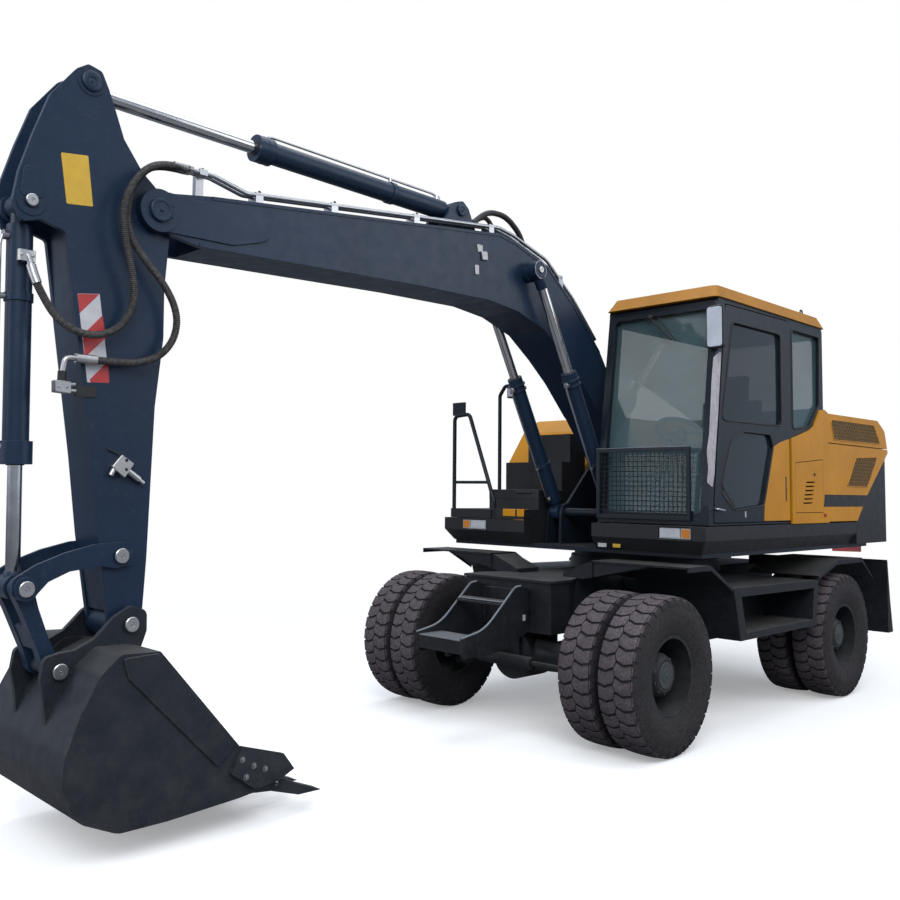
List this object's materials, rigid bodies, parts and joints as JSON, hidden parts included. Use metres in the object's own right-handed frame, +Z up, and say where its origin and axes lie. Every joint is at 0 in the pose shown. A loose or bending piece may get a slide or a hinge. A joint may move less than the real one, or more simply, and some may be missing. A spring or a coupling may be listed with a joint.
{
  "type": "wheeled excavator",
  "caption": "Wheeled excavator with one-piece boom, arm and bucket, slewing upper body with cab, and steered front axle on twin tyres.",
  "frame": {"origin": "on the ground, below the middle of the whole machine's box as stored", "axes": "+X from the tail towards the bucket, +Y to the cab's side, +Z up"},
  "size_m": [7.9551, 2.571, 3.8063],
  "materials": {
    "boom_paint": "dark navy paint, satin",
    "cab_paint": "near-black paint, satin",
    "yellow_paint": "amber yellow paint, satin",
    "grey_paint": "dark grey paint, satin",
    "chassis_paint": "black paint, dusty",
    "rim_paint": "dark grey-blue paint",
    "tyre": "dusty black",
    "engine": "painted casting",
    "chrome": "hard chrome, polished",
    "pipe_steel": "painted tube",
    "hose": "corrugated sleeve",
    "glass": "teal-tinted",
    "lamp": "clear lens",
    "seat": "dark cloth",
    "plastic": "grained black"
  },
  "bodies": {
    "chassis": {"chassis_frame": "chassis_paint", "front_steps": "chassis_paint", "side_step_boxes": "chassis_paint", "fenders": "chassis_paint", "rear_flaps": "chassis_paint", "front_axle": "chassis_paint", "rear_axle": "chassis_paint"},
    "knuckle_left": {"knuckle_left": "chassis_paint"},
    "knuckle_right": {"knuckle_right": "chassis_paint"},
    "tie_rods": {"tie_rods": "chassis_paint"},
    "upper": {"upper_frame": "cab_paint", "counterweight": "grey_paint", "lower_skirts": "grey_paint", "lamps": "lamp", "engine_block": "engine", "side_panels": "yellow_paint", "right_boxes": "grey_paint", "handrails": "cab_paint", "cab_mirror": "cab_paint", "cab_frame": "cab_paint", "cab_glass": "glass", "cab_roof": "yellow_paint", "cab_guard": "cab_paint", "cab_seat": "seat", "cab_controls": "plastic"},
    "cab_door": {"cab_door": "cab_paint", "door_glass": "glass"},
    "engine_hood": {"engine_hood": "yellow_paint"},
    "side_door_left": {"side_door_left": "yellow_paint"},
    "side_door_right": {"side_door_right": "yellow_paint"},
    "filter_hatch": {"filter_hatch": "yellow_paint"},
    "boom": {"boom": "boom_paint", "boom_pipes": "pipe_steel"},
    "boom_cylinder_barrels": {"boom_cylinder_barrels": "boom_paint"},
    "boom_cylinder_rods": {"boom_cylinder_rods": "chrome"},
    "arm": {"arm": "boom_paint", "arm_hose_front": "hose", "arm_hose_rear": "hose"},
    "arm_cylinder_barrel": {"arm_cylinder_barrel": "boom_paint"},
    "arm_cylinder_rod": {"arm_cylinder_rod": "chrome"},
    "bucket_cylinder_barrel": {"bucket_cylinder_barrel": "boom_paint"},
    "bucket_cylinder_rod": {"bucket_cylinder_rod": "chrome"},
    "side_links": {"bucket_side_links": "boom_paint"},
    "h_link": {"bucket_h_link": "boom_paint"},
    "bucket": {"bucket": "boom_paint"},
    "wheel_front_left": {"tyres_front_left": "tyre", "rim_front_left": "rim_paint"},
    "wheel_front_right": {"tyres_front_right": "tyre", "rim_front_right": "rim_paint"},
    "wheel_rear_left": {"tyres_rear_left": "tyre", "rim_rear_left": "rim_paint"},
    "wheel_rear_right": {"tyres_rear_right": "tyre", "rim_rear_right": "rim_paint"}
  },
  "joints": [
    {"name": "slew", "type": "hinge", "parent": "chassis", "child": "upper", "pos_m": [-1.628, 0, 1.262], "axis": [0, 0, 1], "continuous": true},
    {"name": "steer_left", "type": "hinge", "parent": "chassis", "child": "knuckle_left", "pos_m": [0.022, 0.61, 0.524], "axis": [0, 0, 1], "range_deg": [-28, 28]},
    {"name": "steer_right", "type": "hinge", "parent": "chassis", "child": "knuckle_right", "pos_m": [0.022, -0.61, 0.524], "axis": [0, 0, 1], "range_deg": [-28.2, 28.2]},
    {"name": "tie_rod_slide", "type": "slide", "parent": "chassis", "child": "tie_rods", "axis": [0, 1, 0], "range_m": [-0.10428, 0.10428]},
    {"name": "wheel_front_left", "type": "hinge", "parent": "knuckle_left", "child": "wheel_front_left", "pos_m": [0.022, 1.116, 0.524], "axis": [0, 1, 0], "continuous": true},
    {"name": "wheel_front_right", "type": "hinge", "parent": "knuckle_right", "child": "wheel_front_right", "pos_m": [0.022, -1.116, 0.524], "axis": [0, 1, 0], "continuous": true},
    {"name": "wheel_rear_left", "type": "hinge", "parent": "chassis", "child": "wheel_rear_left", "pos_m": [-2.828, 1.116, 0.524], "axis": [0, 1, 0], "continuous": true},
    {"name": "wheel_rear_right", "type": "hinge", "parent": "chassis", "child": "wheel_rear_right", "pos_m": [-2.828, -1.116, 0.524], "axis": [0, 1, 0], "continuous": true},
    {"name": "boom_lift", "type": "hinge", "parent": "upper", "child": "boom", "pos_m": [-1.208, 0, 2], "axis": [0, -1, 0], "range_deg": [-52, 37]},
    {"name": "boom_barrel_swing", "type": "hinge", "parent": "upper", "child": "boom_cylinder_barrels", "pos_m": [-0.748, 0, 1.56], "axis": [0, -1, 0], "range_deg": [-50.04, 35.66]},
    {"name": "boom_rod_slide", "type": "slide", "parent": "boom_cylinder_barrels", "child": "boom_cylinder_rods", "axis": [0.4775, 0, 0.8786], "range_m": [-0.5487, 0.39071]},
    {"name": "arm_swing", "type": "hinge", "parent": "boom", "child": "arm", "pos_m": [3.245, 0, 3.142], "axis": [0, 1, 0], "range_deg": [-72, 35], "deforming": ["arm_hose_front", "arm_hose_rear"]},
    {"name": "arm_barrel_swing", "type": "hinge", "parent": "boom", "child": "arm_cylinder_barrel", "pos_m": [0.866, 0, 3.686], "axis": [0, 1, 0], "range_deg": [-4.57, 2.32]},
    {"name": "arm_rod_slide", "type": "slide", "parent": "arm_cylinder_barrel", "child": "arm_cylinder_rod", "axis": [0.9999, 0, 0.0138], "range_m": [-0.80059, 0.38969]},
    {"name": "bucket_curl", "type": "hinge", "parent": "arm", "child": "bucket", "pos_m": [3.344, 0, 1.038], "axis": [0, 1, 0], "range_deg": [-85, 75]},
    {"name": "side_link_swing", "type": "hinge", "parent": "arm", "child": "side_links", "pos_m": [3.39, 0, 1.373], "axis": [0, 1, 0], "range_deg": [-61.14, 53.97]},
    {"name": "h_link_swing", "type": "hinge", "parent": "bucket", "child": "h_link", "pos_m": [3.699, 0, 0.851], "axis": [0, 1, 0], "range_deg": [-60.2, 68.2]},
    {"name": "bucket_barrel_swing", "type": "hinge", "parent": "arm", "child": "bucket_cylinder_barrel", "pos_m": [3.892, 0, 3.058], "axis": [0, 1, 0], "range_deg": [-3.68, 3.27]},
    {"name": "bucket_rod_slide", "type": "slide", "parent": "bucket_cylinder_barrel", "child": "bucket_cylinder_rod", "axis": [-0.0181, 0, -0.9998], "range_m": [-0.49299, 0.43511]},
    {"name": "cab_door_swing", "type": "hinge", "parent": "upper", "child": "cab_door", "pos_m": [-1.768, 1.25, 2.3], "axis": [0, 0, 1], "range_deg": [0, 165]},
    {"name": "hood_lift", "type": "hinge", "parent": "upper", "child": "engine_hood", "pos_m": [-2.508, 0, 2.438], "axis": [0, 1, 0], "range_deg": [0, 50]},
    {"name": "side_door_left_swing", "type": "hinge", "parent": "upper", "child": "side_door_left", "pos_m": [-2.494, 1.256, 1.8], "axis": [0, 0, 1], "range_deg": [-100, 0]},
    {"name": "side_door_right_swing", "type": "hinge", "parent": "upper", "child": "side_door_right", "pos_m": [-2.494, -1.256, 1.8], "axis": [0, 0, 1], "range_deg": [0, 100]},
    {"name": "filter_hatch_swing", "type": "hinge", "parent": "upper", "child": "filter_hatch", "pos_m": [-1.836, 1.257, 1.8], "axis": [0, 0, 1], "range_deg": [-100, 0]}
  ],
  "couplings": [
    {"joint": "steer_right", "follows": "steer_left", "ratio": 1},
    {"joint": "tie_rod_slide", "follows": "steer_left", "m_per_rad": 0.2113},
    {"joint": "boom_barrel_swing", "follows": "boom_lift", "ratio": 0.9584},
    {"joint": "boom_rod_slide", "follows": "boom_lift", "m_per_rad": 0.6035},
    {"joint": "arm_barrel_swing", "follows": "arm_swing", "ratio": 0.0607},
    {"joint": "arm_rod_slide", "follows": "arm_swing", "m_per_rad": 0.6363},
    {"joint": "side_link_swing", "follows": "bucket_curl", "ratio": 0.717},
    {"joint": "h_link_swing", "follows": "bucket_curl", "ratio": -0.8},
    {"joint": "bucket_barrel_swing", "follows": "bucket_curl", "ratio": 0.0409},
    {"joint": "bucket_rod_slide", "follows": "bucket_curl", "m_per_rad": 0.3316}
  ]
}
